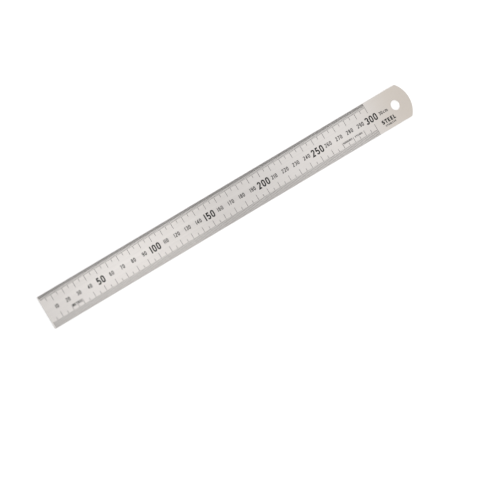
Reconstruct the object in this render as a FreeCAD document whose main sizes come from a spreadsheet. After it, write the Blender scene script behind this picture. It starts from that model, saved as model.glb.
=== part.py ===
import FreeCAD, Part
import math
import os
import Sketcher

# Double-sided steel ruler, 300 mm / 12 in, in millimetres.
# Frame: origin at the middle of the square zero end, on the resting (inch) face.
# +X runs along the scale, so X reads the same as the millimetre graduations.
# +Y runs across the blade to the half-millimetre edge, +Z up through the metric face.
# The blade is one strip of steel. Its marks are black enamel, in a shallow field let
# into each face and flush with the steel at both ends of it, so they never carry the
# ruler. Each group of marks is a sub-part of its own, one solid for each line or figure.

V = FreeCAD.Vector
doc = FreeCAD.newDocument("steel_ruler")

# ---------------------------------------------------------------- driving sizes
SIZES = [
    # blade
    ("blade_length", 335.0, "overall length"),
    ("blade_width", 25.0, "width"),
    ("blade_thick", 1.0, "thickness"),
    ("end_radius", 17.5, "radius of the rounded hanging end"),
    ("end_corner_radius", 1.0, "blend between rounded end and long edges"),
    ("hole_dia", 7.5, "hanging hole"),
    ("hole_from_tip", 12.5, "hole centre from the tip of the rounded end"),
    ("edge_break", 0.1, "light bevel along both long edges and round the hanging end"),
    ("field_depth", 0.02, "depth of the marked field in each face, and thickness of the enamel"),
    ("field_start", 0.25, "zero end to the marked field"),
    ("field_end", 318.2, "zero end to the far side of the field, beside the hole"),
    ("field_foot", 322.3, "zero end to the far side of the field, under the wording"),
    ("field_step", 4.6, "centre line to the step between the two"),
    ("edge_margin", 0.1, "long edge to the outer end of a graduation"),
    # millimetre graduations
    ("line_wide", 0.28, "width of a millimetre graduation"),
    ("scale_count", 300.0, "millimetres graduated"),
    ("pitch_one", 1.0, "millimetre pitch"),
    ("pitch_five", 5.0, "five millimetre pitch"),
    ("pitch_ten", 10.0, "ten millimetre pitch"),
    ("reach_half", 1.8, "half millimetre line, from the edge"),
    ("reach_one_fine", 3.5, "1 mm line, half millimetre edge"),
    ("reach_five_fine", 5.5, "5 mm line, half millimetre edge"),
    ("reach_ten_fine", 7.5, "10 mm line, half millimetre edge"),
    ("reach_one", 4.5, "1 mm line, millimetre edge"),
    ("reach_five", 6.5, "5 mm line, millimetre edge"),
    ("reach_ten", 8.5, "10 mm line, millimetre edge"),
    # inch graduations
    ("inch", 25.4, "one inch"),
    ("inch_count", 12.0, "inches graduated"),
    ("inch_line_wide", 0.27, "width of an inch graduation"),
    ("fine_line_wide", 0.23, "width of a 1/50 or 1/64 graduation"),
    ("reach_fiftieth", 1.75, "1/50 and 1/20 line"),
    ("reach_tenth", 3.5, "1/10 line"),
    ("reach_half_dec", 5.5, "half inch line, decimal edge"),
    ("reach_inch_dec", 8.7, "inch line, decimal edge"),
    ("reach_64", 2.5, "1/64 line"),
    ("reach_32", 3.5, "1/32 line"),
    ("reach_16", 4.5, "1/16 line"),
    ("reach_8", 5.5, "1/8 line"),
    ("reach_4", 6.5, "1/4 line"),
    ("reach_2", 8.5, "1/2 line, fractional edge"),
    ("reach_inch", 9.5, "inch line, fractional edge"),
    # numerals: height over all, width over all, stroke, gap between figures
    ("major_high", 5.2, "50 mm numerals"),
    ("major_wide", 3.0, ""),
    ("major_stroke", 0.98, ""),
    ("major_gap", 0.78, ""),
    ("major_centre", 0.25, "height above the centre line"),
    ("minor_high", 2.95, "10 mm numerals"),
    ("minor_wide", 1.6, ""),
    ("minor_stroke", 0.50, ""),
    ("minor_gap", 0.5, ""),
    ("minor_centre", 0.45, "height above the centre line"),
    ("inch_high", 4.9, "inch numerals"),
    ("inch_wide", 3.0, ""),
    ("inch_stroke", 0.82, ""),
    ("inch_gap", 0.75, ""),
    ("inch_centre", 0.45, "height above the centre line"),
    ("label_high", 2.0, "division labels"),
    ("label_wide", 1.3, ""),
    ("label_stroke", 0.40, ""),
    ("label_gap", 0.35, ""),
    ("unit_high", 2.4, "unit marks"),
    ("unit_stroke", 0.46, ""),
    ("word_high", 3.0, "large word beside the hole"),
    ("word_stroke", 0.80, ""),
    ("small_high", 1.25, "small wording"),
    ("small_stroke", 0.30, ""),
]

sheet = doc.addObject("Spreadsheet::Sheet", "sizes")
sheet.set("A1", "name")
sheet.set("B1", "value")
sheet.set("C1", "meaning")
for row, (name, value, note) in enumerate(SIZES, start=2):
    sheet.set("A%d" % row, name)
    sheet.set("B%d" % row, repr(value))
    sheet.setAlias("B%d" % row, name)
    if note:
        sheet.set("C%d" % row, note)
doc.recompute()


def size(name):
    return float(sheet.get(name))


def origin_part(body, role):
    for feature in body.Origin.OriginFeatures:
        if feature.Role == role:
            return feature
    raise RuntimeError("no " + role)


def flat_sketch(body, name):
    sketch = body.newObject("Sketcher::SketchObject", name)
    sketch.AttachmentSupport = [(origin_part(body, "XY_Plane"), "")]
    sketch.MapMode = "FlatFace"
    return sketch


def bind(sketch, index, name, formula):
    sketch.renameConstraint(index, name)
    sketch.setExpression("Constraints." + name, formula)


# ---------------------------------------------------------------- blade
length, width, thick = size("blade_length"), size("blade_width"), size("blade_thick")
end_r, corner_r = size("end_radius"), size("end_corner_radius")

blade = doc.addObject("PartDesign::Body", "blade")
blade.Label = "blade"
outline = flat_sketch(blade, "blade_outline")
hw = width / 2.0
cx = length - end_r
# centre of each corner blend, tangent to a long edge and inside the end arc
by = hw - corner_r
bx = cx + math.sqrt((end_r - corner_r) ** 2 - by ** 2)
turn = math.atan2(by, bx - cx)
z0, zn = V(0, 0, 0), V(0, 0, 1)


def arc(centre, radius, start, end):
    return Part.ArcOfCircle(Part.Circle(centre, zn, radius), start, end)


outline.addGeometry([
    Part.LineSegment(V(0, -hw, 0), V(bx, -hw, 0)),
    arc(V(bx, -by, 0), corner_r, -math.pi / 2, -turn),
    arc(V(cx, 0, 0), end_r, -turn, turn),
    arc(V(bx, by, 0), corner_r, turn, math.pi / 2),
    Part.LineSegment(V(bx, hw, 0), V(0, hw, 0)),
    Part.LineSegment(V(0, hw, 0), V(0, -hw, 0)),
], False)
C = Sketcher.Constraint
outline.addConstraint([
    C("Coincident", 4, 2, 5, 1),
    C("Coincident", 5, 2, 0, 1),
    C("Tangent", 0, 2, 1, 1),
    C("Tangent", 1, 2, 2, 1),
    C("Tangent", 2, 2, 3, 1),
    C("Tangent", 3, 2, 4, 1),
    C("Horizontal", 0),
    C("Horizontal", 4),
    C("PointOnObject", 5, 1, -2),
    C("Symmetric", 5, 1, 5, 2, -1, 1),
    C("PointOnObject", 2, 3, -1),
    C("Equal", 1, 3),
])
bind(outline, outline.addConstraint(C("DistanceX", -1, 1, 2, 3, cx)), "end_centre",
     "sizes.blade_length - sizes.end_radius")
bind(outline, outline.addConstraint(C("DistanceY", 5, 2, 5, 1, width)), "across", "sizes.blade_width")
bind(outline, outline.addConstraint(C("Radius", 2, end_r)), "end_curve", "sizes.end_radius")
bind(outline, outline.addConstraint(C("Radius", 1, corner_r)), "blend", "sizes.end_corner_radius")

strip = blade.newObject("PartDesign::Pad", "strip")
strip.Profile = outline
strip.Length = thick
strip.setExpression("Length", "sizes.blade_thick")
doc.recompute()

# light bevel along the long edges and round the hanging end of both faces; the zero
# end is a datum and stays sharp
rim = []
for i, edge in enumerate(strip.Shape.Edges, start=1):
    zs = [v.Z for v in edge.Vertexes]
    if max(zs) - min(zs) < 1e-6 and max(v.X for v in edge.Vertexes) > 1e-6:
        rim.append("Edge%d" % i)
bevel = blade.newObject("PartDesign::Chamfer", "edge_bevel")
bevel.Base = (strip, rim)
bevel.Size = size("edge_break")
bevel.setExpression("Size", "sizes.edge_break")
doc.recompute()

hole_x = length - size("hole_from_tip")
ring = flat_sketch(blade, "hole_outline")
ring.addGeometry(Part.Circle(V(hole_x, 0, 0), zn, size("hole_dia") / 2.0), False)
ring.addConstraint(C("PointOnObject", 0, 3, -1))
bind(ring, ring.addConstraint(C("DistanceX", -1, 1, 0, 3, hole_x)), "from_zero",
     "sizes.blade_length - sizes.hole_from_tip")
bind(ring, ring.addConstraint(C("Diameter", 0, size("hole_dia"))), "bore", "sizes.hole_dia")
hanging = blade.newObject("PartDesign::Pocket", "hanging_hole")
hanging.Profile = ring
hanging.Type = "Length"
hanging.Length = thick
hanging.setExpression("Length", "sizes.blade_thick")
hanging.Reversed = True
blade.Tip = hanging
doc.recompute()
cut = bevel.Shape.Volume - hanging.Shape.Volume
wanted = math.pi * (size("hole_dia") / 2.0) ** 2 * thick
if abs(cut - wanted) > 0.01 * wanted:
    raise RuntimeError("hanging hole cuts %.3f, should cut %.3f" % (cut, wanted))


def marked_field(name, face, last):
    # The field takes in the whole width of the blade. Beside the hole it stops short
    # of it, and under the hole it runs on below the wording.
    sketch = flat_sketch(blade, name + "_outline")
    side = 1 if face == "metric" else -1
    over = hw + 1.0
    x = [size("field_start"), size("field_foot"), size("field_end")]
    y = [-over * side, -size("field_step") * side, over * side]
    ring = [V(x[0], y[0], 0), V(x[1], y[0], 0), V(x[1], y[1], 0), V(x[2], y[1], 0), V(x[2], y[2], 0), V(x[0], y[2], 0)]
    sketch.addGeometry([Part.LineSegment(ring[i], ring[(i + 1) % 6]) for i in range(6)], False)
    sketch.addConstraint([C("Coincident", i, 2, (i + 1) % 6, 1) for i in range(6)]
                         + [C("Horizontal", 0), C("Vertical", 1), C("Horizontal", 2), C("Vertical", 3),
                            C("Horizontal", 4), C("Vertical", 5)])
    bind(sketch, sketch.addConstraint(C("DistanceX", -1, 1, 0, 1, x[0])), "field_start", "sizes.field_start")
    bind(sketch, sketch.addConstraint(C("DistanceX", -1, 1, 1, 1, x[1])), "field_foot", "sizes.field_foot")
    bind(sketch, sketch.addConstraint(C("DistanceX", -1, 1, 3, 1, x[2])), "field_end", "sizes.field_end")
    low, high, step = (0, 4, 2) if side > 0 else (4, 0, 2)
    bind(sketch, sketch.addConstraint(C("DistanceY", low, 1, -1, 1, over)), "below", "sizes.blade_width / 2 + 1")
    bind(sketch, sketch.addConstraint(C("DistanceY", -1, 1, high, 1, over)), "above", "sizes.blade_width / 2 + 1")
    if side > 0:
        bind(sketch, sketch.addConstraint(C("DistanceY", step, 1, -1, 1, size("field_step"))), "step",
             "sizes.field_step")
        sketch.AttachmentOffset = FreeCAD.Placement(V(0, 0, thick), FreeCAD.Rotation())
        sketch.setExpression("AttachmentOffset.Base.z", "sizes.blade_thick")
    else:
        bind(sketch, sketch.addConstraint(C("DistanceY", -1, 1, step, 1, size("field_step"))), "step",
             "sizes.field_step")
    field = blade.newObject("PartDesign::Pocket", name)
    field.Profile = sketch
    field.Type = "Length"
    field.Length = size("field_depth")
    field.setExpression("Length", "sizes.field_depth")
    field.Reversed = side < 0
    blade.Tip = field
    doc.recompute()
    cut = last.Shape.Volume - field.Shape.Volume
    wanted = size("field_depth") * width * (size("field_end") - size("field_start"))
    if not 0.97 * wanted < cut < 1.03 * wanted:
        raise RuntimeError("%s cuts %.3f, should cut about %.3f" % (name, cut, wanted))
    return field


metric_field = marked_field("metric_field", "metric", hanging)
inch_field = marked_field("inch_field", "inch", metric_field)

# ---------------------------------------------------------------- where the enamel lies
UP = FreeCAD.Rotation(0, 0, 0, 1)
OVER = FreeCAD.Rotation(V(1, 0, 0), 180)


def put_on_face(thing, face):
    # Marks are drawn as their face is read, zero at the left, from the floor of the
    # field up. On the metric face the floor lies field_depth under the top. The inch
    # face is reached by rolling the ruler over its long axis.
    if face == "metric":
        thing.Placement = FreeCAD.Placement(V(0, 0, thick - size("field_depth")), UP)
        thing.setExpression("Placement.Base.z", "sizes.blade_thick - sizes.field_depth")
    else:
        thing.Placement = FreeCAD.Placement(V(0, 0, size("field_depth")), OVER)
        thing.setExpression("Placement.Base.z", "sizes.field_depth")


# ---------------------------------------------------------------- graduations
def graduations(name, face, side, families):
    # families: (feature name, lines of one step, pitch of the step, number of steps,
    # reach, line width), the lengths given as formulas on the sheet. side is +1 for
    # the edge at the top as the face is read, -1 for the edge at the bottom.
    # No line belongs to two families, so the marks never overlap.
    body = doc.addObject("PartDesign::Body", name)
    body.Label = name
    for part, lines, pitch, count, reach, line in families:
        sketch = flat_sketch(body, part + "_line")
        half, far, near = 0.1, side * (hw - 0.15), side * (hw - 2.0)
        low, high = min(far, near), max(far, near)
        for j, place in enumerate(lines):
            x, g = 1.0 + j, 4 * j
            corners = [V(x - half, low, 0), V(x + half, low, 0), V(x + half, high, 0), V(x - half, high, 0)]
            sketch.addGeometry([Part.LineSegment(corners[i], corners[(i + 1) % 4]) for i in range(4)], False)
            sketch.addConstraint([C("Coincident", g + i, 2, g + (i + 1) % 4, 1) for i in range(4)]
                                 + [C("Horizontal", g), C("Horizontal", g + 2),
                                    C("Vertical", g + 1), C("Vertical", g + 3)])
            outer = g + 2 if side > 0 else g
            bind(sketch, sketch.addConstraint(C("DistanceX", -1, 1, g, 1, x - half)), "line_start_%d" % j,
                 "%s - %s / 2" % (place, line))
            bind(sketch, sketch.addConstraint(C("DistanceX", g, 1, g, 2, 2 * half)), "line_width_%d" % j, line)
            bind(sketch, sketch.addConstraint(C("DistanceY", g + 1, 1, g + 1, 2, high - low)),
                 "line_length_%d" % j, "%s - sizes.edge_margin" % reach)
            bind(sketch, sketch.addConstraint(C("DistanceY", -1, 1, outer, 1, hw - 0.15) if side > 0
                                              else C("DistanceY", outer, 1, -1, 1, hw - 0.15)),
                 "outer_end_%d" % j, "sizes.blade_width / 2 - sizes.edge_margin")
        pad = body.newObject("PartDesign::Pad", part)
        pad.Profile = sketch
        pad.Length = size("field_depth")
        pad.setExpression("Length", "sizes.field_depth")
        pad.Refine = False
        row = body.newObject("PartDesign::LinearPattern", part + "_row")
        row.Originals = [pad]
        row.Direction = (sketch, ["H_Axis"])
        row.Mode = "Spacing"
        row.Offset = 1.0
        row.setExpression("Offset", pitch)
        row.Occurrences = 2
        row.setExpression("Occurrences", count)
        row.Refine = False
        body.Tip = row
    put_on_face(body, face)
    return body


MM, WIDE = "sizes.pitch_one", "sizes.line_wide"
INCH, IWIDE, FINE = "sizes.inch", "sizes.inch_line_wide", "sizes.fine_line_wide"
ones = [MM, MM + " * 2", MM + " * 3", MM + " * 4"]
# Metric face: half millimetres along the top edge, millimetres along the bottom edge.
metric_fine_scale = graduations("metric_half_mm_graduations", "metric", 1, [
    ("ten_mm", ["sizes.pitch_ten"], "sizes.pitch_ten", "sizes.scale_count / 10", "sizes.reach_ten_fine", WIDE),
    ("five_mm", ["sizes.pitch_five"], "sizes.pitch_ten", "sizes.scale_count / 10", "sizes.reach_five_fine", WIDE),
    ("one_mm", ones, "sizes.pitch_five", "sizes.scale_count / 5", "sizes.reach_one_fine", WIDE),
    ("half_mm", [MM + " / 2"], MM, "sizes.scale_count", "sizes.reach_half", WIDE),
])
metric_scale = graduations("metric_mm_graduations", "metric", -1, [
    ("ten_mm", ["sizes.pitch_ten"], "sizes.pitch_ten", "sizes.scale_count / 10", "sizes.reach_ten", WIDE),
    ("five_mm", ["sizes.pitch_five"], "sizes.pitch_ten", "sizes.scale_count / 10", "sizes.reach_five", WIDE),
    ("one_mm", ones, "sizes.pitch_five", "sizes.scale_count / 5", "sizes.reach_one", WIDE),
])
# Inch face, top edge: twentieths to 3 in, fiftieths to 4 in, tenths to 12 in.
decimal_scale = graduations("inch_decimal_graduations", "inch", 1, [
    ("whole_inch", [INCH], INCH, "sizes.inch_count", "sizes.reach_inch_dec", IWIDE),
    ("half_inch", [INCH + " / 2"], INCH, "sizes.inch_count", "sizes.reach_half_dec", IWIDE),
    ("fiftieth", ["%s * 3 + %s * %d / 50" % (INCH, INCH, k) for k in (1, 2, 3, 4)], INCH + " / 10", "10",
     "sizes.reach_fiftieth", FINE),
    ("twentieth", [INCH + " / 20"], INCH + " / 10", "30", "sizes.reach_fiftieth", IWIDE),
    ("tenth", ["%s * %d / 10" % (INCH, k) for k in (1, 2, 3, 4)], INCH + " / 2", "sizes.inch_count * 2",
     "sizes.reach_tenth", IWIDE),
])
# Inch face, bottom edge: 32nds to 3 in, 64ths to 4 in, 16ths to 12 in.
fraction_scale = graduations("inch_fraction_graduations", "inch", -1, [
    ("whole_inch", [INCH], INCH, "sizes.inch_count", "sizes.reach_inch", IWIDE),
    ("half_inch", [INCH + " / 2"], INCH, "sizes.inch_count", "sizes.reach_2", IWIDE),
    ("quarter", [INCH + " / 4"], INCH + " / 2", "sizes.inch_count * 2", "sizes.reach_4", IWIDE),
    ("eighth", [INCH + " / 8"], INCH + " / 4", "sizes.inch_count * 4", "sizes.reach_8", IWIDE),
    ("sixty_fourth", ["%s * 3 + %s / 64" % (INCH, INCH)], INCH + " / 32", "32", "sizes.reach_64", FINE),
    ("thirty_second", [INCH + " / 32"], INCH + " / 16", "64", "sizes.reach_32", FINE),
    ("sixteenth", [INCH + " / 16"], INCH + " / 8", "sizes.inch_count * 8", "sizes.reach_16", IWIDE),
])


# ---------------------------------------------------------------- figures and letters
# A condensed engraver's gothic of even strokes with square ends. A figure is a few
# strokes; a stroke is the line down its middle, drawn in a box w wide and h high.
# Round bowls are drawn as short chords.
def bow(x, y, rx, ry, start, end, steps):
    return [(x + rx * math.cos(math.radians(start + (end - start) * i / steps)),
             y + ry * math.sin(math.radians(start + (end - start) * i / steps))) for i in range(steps + 1)]


def closed(path):
    return ("closed", path)


def leg(x0, y0, x1, y1, s):
    # A slanting stroke cut off level at both ends, as wide as the others.
    k = s / 2.0 * math.hypot(x1 - x0, y1 - y0) / abs(y1 - y0)
    return ("outline", [(x0 - k, y0), (x0 + k, y0), (x1 + k, y1), (x1 - k, y1)])


def strokes(sign, w, h, n, s):
    r = w / 2.0
    q = h / 4.0
    e = s / 2.0
    if sign == "0":
        return [closed(bow(r, h - r, r, r, 0, 180, 2 * n)[:] + bow(r, r, r, r, 180, 360, 2 * n))]
    if sign == "1":
        return [("open", [(0, -e), (0, h + e)])]
    if sign == "2":
        # round top, then the tangent down to the left end of the foot
        d = math.hypot(r, h - r)
        touch = math.degrees(math.atan2(-(h - r), -r) + math.acos(r / d))
        return [("open", bow(r, h - r, r, r, 170, touch, 3 * n) + [(0.0, 0.0), (w, 0.0)])]
    if sign == "3":
        return [("open", bow(r, h - q, r, q, 160, -90, 3 * n)), ("open", bow(r, q, r, q, 90, -160, 3 * n))]
    if sign == "4":
        return [("open", [(0.74 * w, -e), (0.74 * w, h + e)]),
                ("open", [(0.74 * w, h), (0, 0.26 * h), (w * 1.06, 0.26 * h)])]
    if sign == "5":
        top = 0.6 * h
        return [("open", [(0.95 * w, h), (0.1 * w, h), (0.02 * w, 0.46 * h)]),
                ("open", bow(r, top - r, r, r, 160, 0, 2 * n) + bow(r, r, r, r, 0, -160, 2 * n))]
    if sign == "6":
        # the outer line from the end of the top bow round the left side and the bowl,
        # then the inner line of the top bow back; the counter is cut from it
        top = 0.6 * h
        meet = math.degrees(math.acos((e - r) / (r + e)))
        rim = (bow(r, h - r, r + e, r + e, 30, 180, 2 * n) + bow(r, r, r + e, r + e, 180, 360, 3 * n)
               + bow(r, top - r, r + e, r + e, 0, meet, n) + bow(r, h - r, r - e, r - e, 180, 30, 2 * n))
        counter = bow(r, top - r, r - e, r - e, 0, 180, 2 * n) + bow(r, r, r - e, r - e, 180, 360, 2 * n)
        return [("outline", rim, counter)]
    if sign == "7":
        return [("open", [(0, h), (0.94 * w, h)]), leg(w, h + e, 0.34 * w, -e, s)]
    if sign == "8":
        return [closed(bow(r, h - q, 0.94 * r, q, 90, 450, 4 * n)[:-1]),
                closed(bow(r, q, r, q, 90, 450, 4 * n)[:-1])]
    if sign == "9":
        kind, rim, counter = strokes("6", w, h, n, s)[0]
        return [(kind, [(w - x, h - y) for x, y in rim], [(w - x, h - y) for x, y in counter])]
    if sign == "A":
        return [leg(0, -e, r, h + e, s), leg(w, -e, r, h + e, s), ("open", [(0.2 * w, 0.26 * h), (0.8 * w, 0.26 * h)])]
    if sign == "C":
        return [("open", bow(r, h - r, r, r, 20, 180, 2 * n) + bow(r, r, r, r, 180, 340, 2 * n))]
    if sign == "D":
        return [closed([(0, 0)] + bow(w - r, r, r, r, -90, 0, n) + bow(w - r, h - r, r, r, 0, 90, n) + [(0, h)])]
    if sign == "E":
        return [("open", [(w, h), (0, h), (0, 0), (w, 0)]), ("open", [(0, 0.52 * h), (0.86 * w, 0.52 * h)])]
    if sign == "G":
        return [("open", bow(r, h - r, r, r, 20, 180, 2 * n) + bow(r, r, r, r, 180, 360, 2 * n)
                 + [(w, 0.46 * h), (0.55 * w, 0.46 * h)])]
    if sign == "H":
        return [("open", [(0, -e), (0, h + e)]), ("open", [(w, -e), (w, h + e)]), ("open", [(0, h / 2), (w, h / 2)])]
    if sign == "I":
        return [("open", [(0, -e), (0, h + e)])]
    if sign == "L":
        return [("open", [(0, h + e), (0, 0), (w, 0)])]
    if sign == "N":
        return [("open", [(0, -e), (0, h + e)]), ("open", [(w, -e), (w, h + e)]), leg(0.06 * w, h + e, 0.94 * w, -e, s)]
    if sign == "M":
        return [("open", [(0, -e), (0, h + e)]), ("open", [(w, -e), (w, h + e)]),
                leg(0.06 * w, h + e, r, 0.2 * h, s), leg(0.94 * w, h + e, r, 0.2 * h, s)]
    if sign == "R":
        return [("open", [(0, -e), (0, h + e)]),
                ("open", [(0, h)] + bow(w - q, h - q, q, q, 90, -90, 2 * n) + [(0, h / 2)]),
                leg(0.45 * w, h / 2, w, -e, s)]
    if sign == "S":
        return [("open", bow(r, h - q, r, q, 20, 270, 3 * n) + bow(r, q, r, q, 90, -160, 3 * n)[1:])]
    if sign == "T":
        return [("open", [(-e, h), (w + e, h)]), ("open", [(r, -e), (r, h)])]
    if sign == "c":
        x_high = 0.68 * h
        return [("open", bow(r, x_high / 2, r, x_high / 2, 40, 320, 4 * n))]
    if sign == "i":
        return [("open", [(0, -e), (0, 0.64 * h)]), ("open", [(0, 0.86 * h), (0, 1.06 * h)])]
    if sign == "n":
        x_high = 0.68 * h
        return [("open", [(0, -e), (0, x_high + e)]), ("open", bow(r, x_high - r, r, r, 150, 0, 2 * n) + [(w, -e)])]
    if sign == "m":
        x_high = 0.68 * h
        a = w / 4.0
        return [("open", [(0, -e), (0, x_high + e)]),
                ("open", bow(a, x_high - a, a, a, 150, 0, 2 * n) + [(2 * a, -e)]),
                ("open", bow(3 * a, x_high - a, a, a, 150, 0, 2 * n) + [(4 * a, -e)])]
    raise RuntimeError("no figure " + sign)


NARROW = {"1": 0.0, "I": 0.0, "i": 0.0, "m": 1.55, "M": 1.15, "c": 0.85, "n": 0.9, "L": 0.85, "E": 0.88, "T": 0.95}


def clean(path, is_closed):
    kept = []
    for p in path:
        if not kept or math.hypot(p[0] - kept[-1][0], p[1] - kept[-1][1]) > 1e-4:
            kept.append(p)
    if is_closed and math.hypot(kept[0][0] - kept[-1][0], kept[0][1] - kept[-1][1]) < 1e-4:
        kept.pop()
    return kept


def side_line(path, off, is_closed):
    # The line at a distance off to the left of a path, corners mitred.
    n = len(path)
    out = []
    for i in range(n):
        before = path[i - 1] if (i > 0 or is_closed) else None
        after = path[(i + 1) % n] if (i < n - 1 or is_closed) else None
        here = path[i]
        dirs = []
        for a, b in ((before, here), (here, after)):
            if a is not None and b is not None:
                d = math.hypot(b[0] - a[0], b[1] - a[1])
                dirs.append(((b[0] - a[0]) / d, (b[1] - a[1]) / d))
        normals = [(-d[1], d[0]) for d in dirs]
        if len(normals) == 1:
            nx, ny = normals[0]
            out.append((here[0] + off * nx, here[1] + off * ny))
        else:
            mx, my = normals[0][0] + normals[1][0], normals[0][1] + normals[1][1]
            scale = 2.0 / (mx * mx + my * my)
            out.append((here[0] + off * mx * scale, here[1] + off * my * scale))
    return out


def polygon(points):
    # always drawn anticlockwise, so that every face looks up and neighbours join
    turning = sum(points[i - 1][0] * points[i][1] - points[i][0] * points[i - 1][1] for i in range(len(points)))
    if turning < 0:
        points = points[::-1]
    return Part.makePolygon([V(x, y, 0) for x, y in points] + [V(points[0][0], points[0][1], 0)])


def stroke_face(kind, path, stroke, counter=None):
    if kind == "outline":
        shape = Part.Face(polygon(clean(path, True)))
        if counter:
            shape = shape.cut(Part.Face(polygon(clean(counter, True)))).Faces[0]
        return shape
    is_closed = kind == "closed"
    path = clean(path, is_closed)
    left = side_line(path, stroke / 2.0, is_closed)
    right = side_line(path, -stroke / 2.0, is_closed)
    if not is_closed:
        return Part.Face(polygon(left + right[::-1]))
    a, b = Part.Face(polygon(left)), Part.Face(polygon(right))
    outer, inner = (a, b) if a.Area > b.Area else (b, a)
    return outer.cut(inner).Faces[0]


made = {}


def figure(sign, wide, high, stroke, steps):
    # One figure as a flat face with its lower left corner at the origin, and its width.
    key = (sign, wide, high, stroke)
    if key not in made:
        w = (wide - stroke) * NARROW.get(sign, 1.0)
        faces = []
        for kind, *lines in strokes(sign, w, high - stroke, steps, stroke):
            lines = [[(x + stroke / 2.0, y + stroke / 2.0) for x, y in line] for line in lines]
            faces.append(stroke_face(kind, lines[0], stroke, *lines[1:]))
        shape = faces[0]
        if len(faces) > 1:
            shape = faces[0].fuse(faces[1:]).removeSplitter()
        # a figure is at least as large as any of its strokes, and fills the same box
        box = faces[0].BoundBox
        for f in faces[1:]:
            box.add(f.BoundBox)
        same = max(abs(shape.BoundBox.XMin - box.XMin), abs(shape.BoundBox.XMax - box.XMax),
                   abs(shape.BoundBox.YMin - box.YMin), abs(shape.BoundBox.YMax - box.YMax))
        if (not shape.isValid() or len(shape.Faces) != (2 if sign == "i" else 1) or same > 1e-3 or shape.Area > sum(f.Area for f in faces) + 1e-6
                or shape.Area < max(f.Area for f in faces) - 1e-6):
            raise RuntimeError("figure %s is not what its strokes make" % sign)
        made[key] = (shape, w + stroke)
    return made[key]


def line_of(text, x, y, wide, high, stroke, gap, steps, anchor="centre"):
    # Faces of a line of figures; x is its middle (or its left end), y its middle height.
    widths = [figure(sign, wide, high, stroke, steps)[1] if sign != " " else wide * 0.5 for sign in text]
    gaps = [gap * (1.25 if "1" in text[i:i + 2] else 1.0) for i in range(len(text) - 1)]
    total = sum(widths) + sum(gaps)
    at = x - total / 2.0 if anchor == "centre" else x
    faces = []
    for i, sign in enumerate(text):
        if sign != " ":
            face = figure(sign, wide, high, stroke, steps)[0].copy()
            face.translate(V(at, y - high / 2.0, 0))
            faces.extend(face.Faces)
        at += widths[i] + (gaps[i] if i < len(gaps) else 0)
    return faces


def lettering(name, face, faces):
    thing = doc.addObject("Part::Feature", name)
    thing.Label = name
    depth = size("field_depth")
    thing.Shape = Part.makeCompound([f.extrude(V(0, 0, depth)) for f in faces])
    put_on_face(thing, face)
    return thing


def group(prefix):
    return size(prefix + "_wide"), size(prefix + "_high"), size(prefix + "_stroke"), size(prefix + "_gap")


faces = []
for value in range(50, 301, 50):
    faces += line_of(str(value), value, size("major_centre"), *group("major"), 6)
major_numerals = lettering("metric_major_numerals", "metric", faces)

faces = []
for value in range(10, 300, 10):
    if value % 50:
        faces += line_of(str(value), value, size("minor_centre"), *group("minor"), 4)
minor_numerals = lettering("metric_minor_numerals", "metric", faces)

# "30cm" after the last numeral, and the name of the scale near the zero end
unit, unit_s = size("unit_high"), size("unit_stroke")
faces = line_of("30", 307.3, 0.35, 1.4, unit, unit_s, 0.35, 4, "left")
faces += line_of("cm", 311.0, 0.35, 1.6, unit, unit_s, 0.38, 4, "left")
faces += line_of("METRIC", 25.05, -4.9, 1.25, 2.0, 0.46, 0.42, 3)
metric_units = lettering("metric_unit_marks", "metric", faces)

# plain wording of the material and its treatment
faces = line_of("STEEL", 312.0, -6.25, 2.3, size("word_high"), size("word_stroke"), 0.42, 4)
faces += line_of("STAINLESS", 312.0, -9.25, 0.95, size("small_high"), size("small_stroke"), 0.22, 3)
faces += line_of("HARDENED", 274.85, -4.7, 0.86, size("small_high"), size("small_stroke"), 0.2, 3)
faces += line_of("ETCHED", 284.95, -4.7, 0.98, size("small_high"), size("small_stroke"), 0.2, 3)
metric_words = lettering("metric_wording", "metric", faces)

inch = size("inch")
faces = []
for value in range(1, 13):
    faces += line_of(str(value), value * inch, size("inch_centre"), *group("inch"), 6)
inch_numerals = lettering("inch_numerals", "inch", faces)

faces = []
for start, top, bottom in ((0.27, "20", "32"), (3.25, "50", "64"), (4.25, "10", "16")):
    faces += line_of(top, start * inch, 7.4, *group("label"), 3)
    faces += line_of(bottom, start * inch, -4.85, *group("label"), 3)
division_labels = lettering("inch_division_labels", "inch", faces)

faces = line_of("in", 296.0, -0.4, 1.55, unit, unit_s, 0.5, 3, "left")
faces += line_of("INCH", 38.1, -2.75, 1.5, 2.1, 0.36, 0.62, 3)
inch_units = lettering("inch_unit_marks", "inch", faces)

faces = line_of("STEEL", 314.5, -6.25, 2.3, size("word_high"), size("word_stroke"), 0.42, 4)
faces += line_of("STAINLESS", 314.5, -9.25, 0.95, size("small_high"), size("small_stroke"), 0.22, 3)
inch_words = lettering("inch_wording", "inch", faces)

marks = [metric_fine_scale, metric_scale, major_numerals, minor_numerals, metric_units, metric_words,
            decimal_scale, fraction_scale, inch_numerals, division_labels, inch_units, inch_words]
doc.recompute()

# ---------------------------------------------------------------- checks and output
for obj in doc.Objects:
    if "Invalid" in obj.State or "Error" in obj.State:
        raise RuntimeError("%s: %s" % (obj.Label, obj.State))

nodes = [blade] + marks
for node in nodes:
    shape = node.Shape
    if shape.isNull() or not shape.isValid() or not shape.Solids:
        raise RuntimeError(node.Label + " has no valid shape")

if len(blade.Shape.Solids) != 1:
    raise RuntimeError("the blade is not one solid")

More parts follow.
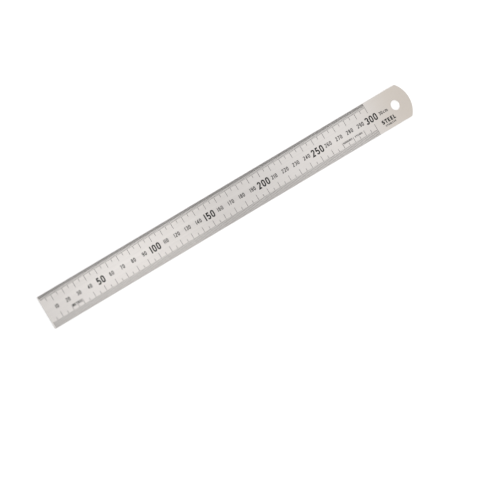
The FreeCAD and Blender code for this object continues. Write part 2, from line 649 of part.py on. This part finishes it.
os.makedirs("parts", exist_ok=True)
for node in nodes:
    node.Shape.exportStep("parts/%s.step" % node.Label)
    box = node.Shape.BoundBox
    print("%-30s %4d solids %6d faces %10.3f mm3  x %.3f..%.3f y %.3f..%.3f z %.3f..%.3f" % (
        node.Label, len(node.Shape.Solids), len(node.Shape.Faces), node.Shape.Volume,
        box.XMin, box.XMax, box.YMin, box.YMax, box.ZMin, box.ZMax))
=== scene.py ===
import math

import bpy
from mathutils import Matrix, Vector


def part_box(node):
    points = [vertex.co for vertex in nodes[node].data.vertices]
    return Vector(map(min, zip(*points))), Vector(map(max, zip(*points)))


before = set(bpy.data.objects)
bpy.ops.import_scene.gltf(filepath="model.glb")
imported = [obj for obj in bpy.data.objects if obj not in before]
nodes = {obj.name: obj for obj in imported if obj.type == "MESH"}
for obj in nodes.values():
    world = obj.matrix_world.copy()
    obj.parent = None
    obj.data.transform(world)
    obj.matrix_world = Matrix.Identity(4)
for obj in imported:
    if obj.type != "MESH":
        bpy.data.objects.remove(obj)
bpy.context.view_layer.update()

scene = bpy.context.scene

blade_lo, blade_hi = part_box("blade")
LENGTH = blade_hi.x - blade_lo.x
WIDTH = blade_hi.y - blade_lo.y
TOP = blade_hi.z


# ---------------------------------------------------------------- node helpers
def new_material(name):
    mat = bpy.data.materials.new(name)
    mat.use_nodes = True
    tree = mat.node_tree
    tree.nodes.clear()
    out = tree.nodes.new("ShaderNodeOutputMaterial")
    bsdf = tree.nodes.new("ShaderNodeBsdfPrincipled")
    tree.links.new(bsdf.outputs["BSDF"], out.inputs["Surface"])
    return mat, tree, bsdf, out


def node(tree, kind, **values):
    n = tree.nodes.new(kind)
    for k, v in values.items():
        setattr(n, k, v)
    return n


def link(tree, a, b):
    tree.links.new(a, b)


def coords(tree, scale, rotation=(0.0, 0.0, 0.0), location=(0.0, 0.0, 0.0)):
    # object coordinates are the row frame in metres, the same on every piece
    tc = node(tree, "ShaderNodeTexCoord")
    mp = node(tree, "ShaderNodeMapping")
    mp.inputs["Scale"].default_value = scale
    mp.inputs["Rotation"].default_value = rotation
    mp.inputs["Location"].default_value = location
    link(tree, tc.outputs["Object"], mp.inputs["Vector"])
    return mp.outputs["Vector"]


def noise(tree, vector, scale, detail=2.0, rough=0.5, distortion=0.0):
    n = node(tree, "ShaderNodeTexNoise")
    n.inputs["Scale"].default_value = scale
    n.inputs["Detail"].default_value = detail
    n.inputs["Roughness"].default_value = rough
    n.inputs["Distortion"].default_value = distortion
    link(tree, vector, n.inputs["Vector"])
    return n.outputs["Fac"]


def ramp(tree, fac, stops, interpolation="LINEAR"):
    r = node(tree, "ShaderNodeValToRGB")
    r.color_ramp.interpolation = interpolation
    els = r.color_ramp.elements
    while len(els) > 1:
        els.remove(els[-1])
    els[0].position, els[0].color = stops[0][0], stops[0][1]
    for pos, col in stops[1:]:
        e = els.new(pos)
        e.color = col
    link(tree, fac, r.inputs["Fac"])
    return r.outputs["Color"]


def math_node(tree, op, a, b=None, c=None, clamp=False):
    m = node(tree, "ShaderNodeMath", operation=op, use_clamp=clamp)
    for i, v in enumerate((a, b, c)):
        if v is None:
            continue
        if isinstance(v, (int, float)):
            m.inputs[i].default_value = v
        else:
            link(tree, v, m.inputs[i])
    return m.outputs[0]


def map_range(tree, value, a, b, c, d, smooth=True):
    m = node(tree, "ShaderNodeMapRange")
    m.interpolation_type = "SMOOTHSTEP" if smooth else "LINEAR"
    link(tree, value, m.inputs["Value"])
    for name, v in (("From Min", a), ("From Max", b), ("To Min", c), ("To Max", d)):
        m.inputs[name].default_value = v
    return m.outputs["Result"]


def mix_rgb(tree, fac, a, b, blend="MIX"):
    m = node(tree, "ShaderNodeMix", data_type="RGBA", blend_type=blend)
    m.clamp_factor = True
    for sock, v in ((m.inputs[0], fac), (m.inputs[6], a), (m.inputs[7], b)):
        if isinstance(v, (int, float)):
            sock.default_value = v
        elif isinstance(v, tuple):
            sock.default_value = v
        else:
            link(tree, v, sock)
    return m.outputs[2]


def grey(v):
    return (v, v, v, 1.0)


# ---------------------------------------------------------------- satin steel
def satin_steel():
    mat, tree, bsdf, out = new_material("satin_steel")
    bsdf.inputs["Metallic"].default_value = 1.0
    bsdf.inputs["Anisotropic"].default_value = 0.35

    tc = node(tree, "ShaderNodeTexCoord")
    xyz = node(tree, "ShaderNodeSeparateXYZ")
    link(tree, tc.outputs["Object"], xyz.inputs["Vector"])

    # fine grain left by the finishing belt, running along the blade
    fine = noise(tree, coords(tree, (14.0, 2600.0, 2600.0)), 1.0, 4.0, 0.6)
    streak = noise(tree, coords(tree, (5.0, 420.0, 420.0)), 1.0, 3.0, 0.55)
    cross = noise(tree, coords(tree, (900.0, 900.0, 900.0)), 1.0, 3.0, 0.6)
    grain = math_node(tree, "ADD", math_node(tree, "MULTIPLY", fine, 0.6),
                      math_node(tree, "MULTIPLY", streak, 0.4))

    # slow clouds of tone, and the warmer, duller steel of the end that is handled
    cloud = noise(tree, coords(tree, (14.0, 60.0, 60.0), location=(3.1, 1.7, 0.4)), 1.0, 3.0, 0.55)
    tone = ramp(tree, cloud, [(0.30, (0.579, 0.552, 0.531, 1)), (0.52, (0.593, 0.567, 0.548, 1)),
                              (0.72, (0.607, 0.582, 0.564, 1))])
    # painted reflection: some lengths of the blade are painted a little brighter and others darker, adding to the
    # lengthwise gradient that the strip lights give
    painted_reflection_x = map_range(tree, xyz.outputs["X"], 0.0, LENGTH, 0.0, 1.0, smooth=False)
    tone = mix_rgb(tree, 1.0, tone, ramp(tree, painted_reflection_x, [
        (0.00, grey(1.020)), (0.10, grey(1.040)), (0.26, grey(1.040)), (0.36, grey(1.030)), (0.49, grey(0.940)),
        (0.59, grey(0.965)), (0.70, grey(1.025)), (0.80, grey(1.040)), (0.88, grey(1.010)), (1.00, grey(0.985))],
        "EASE"), "MULTIPLY")
    grained = mix_rgb(tree, 1.0, tone, ramp(tree, grain, [(0.30, grey(0.93)), (0.70, grey(1.05))]), "MULTIPLY")
    handled = map_range(tree, xyz.outputs["X"], LENGTH * 0.85, LENGTH * 0.98, 0.0, 1.0)
    base = mix_rgb(tree, math_node(tree, "MULTIPLY", handled, 0.75), grained,
                   (0.545, 0.492, 0.438, 1.0))

    # wear: the long edges are rubbed a little brighter
    ydist = math_node(tree, "ABSOLUTE", xyz.outputs["Y"])
    edge = map_range(tree, ydist, WIDTH / 2 - 0.00055, WIDTH / 2 - 0.00005, 0.0, 1.0)
    broken = ramp(tree, noise(tree, coords(tree, (160.0, 160.0, 160.0)), 1.0, 3.0, 0.6),
                  [(0.40, grey(0.0)), (0.62, grey(1.0))])
    rub = math_node(tree, "MULTIPLY", edge, broken)
    worn = mix_rgb(tree, math_node(tree, "MULTIPLY", rub, 0.5), base, (0.70, 0.69, 0.67, 1.0))
    link(tree, worn, bsdf.inputs["Base Color"])

    # roughness: satin, dulled by handling, brighter where rubbed, varied by the grain
    rough = math_node(tree, "ADD", math_node(tree, "MULTIPLY", grain, 0.16), 0.30)
    rough = math_node(tree, "ADD", rough, math_node(tree, "MULTIPLY", cross, 0.06))
    rough = math_node(tree, "ADD", rough, math_node(tree, "MULTIPLY", handled, 0.05))
    rough = math_node(tree, "SUBTRACT", rough, math_node(tree, "MULTIPLY", rub, 0.10), clamp=True)
    link(tree, rough, bsdf.inputs["Roughness"])

    # relief of the grain and a few long hairline scratches
    scratch_n = noise(tree, coords(tree, (9.0, 900.0, 900.0), rotation=(0.0, 0.0, 0.035)), 1.0, 1.0, 0.4)
    scratch = ramp(tree, scratch_n, [(0.70, grey(0.0)), (0.74, grey(1.0))])
    height = math_node(tree, "SUBTRACT", math_node(tree, "MULTIPLY", grain, 1.0),
                       math_node(tree, "MULTIPLY", scratch, 0.35))
    bump = node(tree, "ShaderNodeBump")
    bump.inputs["Strength"].default_value = 0.30
    bump.inputs["Distance"].default_value = 0.00002
    link(tree, height, bump.inputs["Height"])
    link(tree, bump.outputs["Normal"], bsdf.inputs["Normal"])
    return mat


# ---------------------------------------------------------------- black enamel
def enamel(name, dark, fade):
    # Enamel on brushed steel: matt, a little greyer where the steel's grain has
    # rubbed it thin, and slightly uneven in gloss.
    mat, tree, bsdf, out = new_material(name)
    bsdf.inputs["Metallic"].default_value = 0.0
    bsdf.inputs["IOR"].default_value = 1.5
    bsdf.inputs["Specular IOR Level"].default_value = 0.16
    worn = noise(tree, coords(tree, (120.0, 1500.0, 1500.0)), 1.0, 3.0, 0.6)
    spots = noise(tree, coords(tree, (1300.0, 1300.0, 1300.0), location=(0.3, 0.2, 0.1)), 1.0, 2.0, 0.5)
    both = math_node(tree, "ADD", math_node(tree, "MULTIPLY", worn, 0.6), math_node(tree, "MULTIPLY", spots, 0.4))
    col = ramp(tree, both, [(0.30, (dark, dark * 0.98, dark * 0.95, 1)), (0.56, (dark * 1.3, dark * 1.27, dark * 1.22, 1)),
                            (0.74, (fade, fade * 0.98, fade * 0.95, 1))])
    link(tree, col, bsdf.inputs["Base Color"])
    rough = math_node(tree, "ADD", math_node(tree, "MULTIPLY", both, 0.25), 0.42, clamp=True)
    link(tree, rough, bsdf.inputs["Roughness"])
    bump = node(tree, "ShaderNodeBump")
    bump.inputs["Strength"].default_value = 0.25
    bump.inputs["Distance"].default_value = 0.00001
    link(tree, both, bump.inputs["Height"])
    link(tree, bump.outputs["Normal"], bsdf.inputs["Normal"])
    return mat


def give(name, mat):
    mesh = nodes[name].data
    mesh.materials.clear()
    mesh.materials.append(mat)


steel = satin_steel()
ink = enamel("black_enamel", 0.012, 0.040)
give("blade", steel)
for name in nodes:
    if name != "blade":
        give(name, ink)

# ---------------------------------------------------------------- floor
# A large pale sheet. From above it is white paper; its back is clear, so the
# underside of the ruler can be seen from below.
floor_mesh = bpy.data.meshes.new("floor")
S = 8.0
floor_mesh.from_pydata([(-S, -S, 0.0), (S, -S, 0.0), (S, S, 0.0), (-S, S, 0.0)], [], [(0, 1, 2, 3)])
floor_mesh.update()
floor = bpy.data.objects.new("floor", floor_mesh)
floor.location = (0.0, 0.0, -0.00002)
scene.collection.objects.link(floor)
fmat, ftree, fbsdf, fout = new_material("pale_paper")
fbsdf.inputs["Base Color"].default_value = (0.90, 0.90, 0.90, 1.0)
fbsdf.inputs["Roughness"].default_value = 0.9
fbsdf.inputs["Specular IOR Level"].default_value = 0.1
geo = node(ftree, "ShaderNodeNewGeometry")
clear = node(ftree, "ShaderNodeBsdfTransparent")
mixs = node(ftree, "ShaderNodeMixShader")
link(ftree, geo.outputs["Backfacing"], mixs.inputs[0])
link(ftree, fbsdf.outputs["BSDF"], mixs.inputs[1])
link(ftree, clear.outputs["BSDF"], mixs.inputs[2])
link(ftree, mixs.outputs[0], fout.inputs["Surface"])
floor_mesh.materials.append(fmat)
# the paper lies against the lower face, so it doesn't take part in that face's reflections
floor.visible_glossy = False
floor.visible_diffuse = False
floor.visible_transmission = False
floor.visible_shadow = False

# ---------------------------------------------------------------- light
world = bpy.data.worlds.new("studio")
scene.world = world
world.use_nodes = True
wt = world.node_tree
wt.nodes.clear()
wout = wt.nodes.new("ShaderNodeOutputWorld")
bg = wt.nodes.new("ShaderNodeBackground")
wt.links.new(bg.outputs[0], wout.inputs["Surface"])
bg.inputs["Color"].default_value = (1.0, 1.0, 1.0, 1.0)
bg.inputs["Strength"].default_value = 1.0


def softbox(name, location, target, size, power, color=(1.0, 1.0, 1.0)):
    data = bpy.data.lights.new(name, "AREA")
    data.shape = "RECTANGLE"
    data.size, data.size_y = size
    data.energy = power
    data.color = color
    obj = bpy.data.objects.new(name, data)
    obj.location = location
    back = (Vector(location) - Vector(target)).normalized()
    obj.rotation_mode = "QUATERNION"
    obj.rotation_quaternion = back.to_track_quat("Z", "Y")
    obj.visible_camera = False
    scene.collection.objects.link(obj)
    return obj


mid = (LENGTH / 2, 0.0, 0.0)
# two soft strips above the blade, whose reflections meet a little past its middle
softbox("strip_near", (0.185, 0.0, 0.20), (0.185, 0.0, 0.0), (0.07, 0.5), 0.085)
softbox("strip_far", (0.385, 0.0, 0.20), (0.385, 0.0, 0.0), (0.07, 0.5), 0.062)
# a broad, weak fill from behind the camera keeps the paper white
softbox("fill", (-1.10, 0.0, 1.90), mid, (2.2, 2.2), 13.0)
# and one from under the table lights the inch face when the ruler is seen from below
softbox("under", (LENGTH / 2, 0.0, -1.20), mid, (1.4, 1.4), 1.5)

# ---------------------------------------------------------------- camera
# A long lens looks along the blade from the zero end, about 60 degrees above the table,
# and is rolled so that the blade runs up to the right.
ELEVATION = math.radians(60.148)
ROLL = math.radians(30.854)
FIELD = 0.330502
LENS = 1650.0
cam_data = bpy.data.cameras.new("camera")
cam_data.type = "PERSP"
cam_data.sensor_fit = "HORIZONTAL"
cam_data.sensor_width = 36.0
cam_data.lens = LENS
back = Vector((-math.cos(ELEVATION), 0.0, math.sin(ELEVATION)))
along = Vector((math.sin(ELEVATION), 0.0, math.cos(ELEVATION)))
across = Vector((0.0, -1.0, 0.0))
right = along * math.cos(ROLL) + across * math.sin(ROLL)
up = along * math.sin(ROLL) - across * math.cos(ROLL)
aim = Vector((0.16070, -0.02510, TOP))
distance = FIELD / (36.0 / LENS)
cam = bpy.data.objects.new("camera", cam_data)
m = Matrix((right, up, back)).transposed().to_4x4()
m.translation = aim + back * distance
cam.matrix_world = m
cam_data.clip_start = 1.0
cam_data.clip_end = 40.0
scene.collection.objects.link(cam)
scene.camera = cam

scene.view_settings.view_transform = "Standard"
scene.view_settings.look = "None"
scene.view_settings.exposure = 0.0
scene.view_settings.gamma = 1.0

bpy.context.view_layer.update()
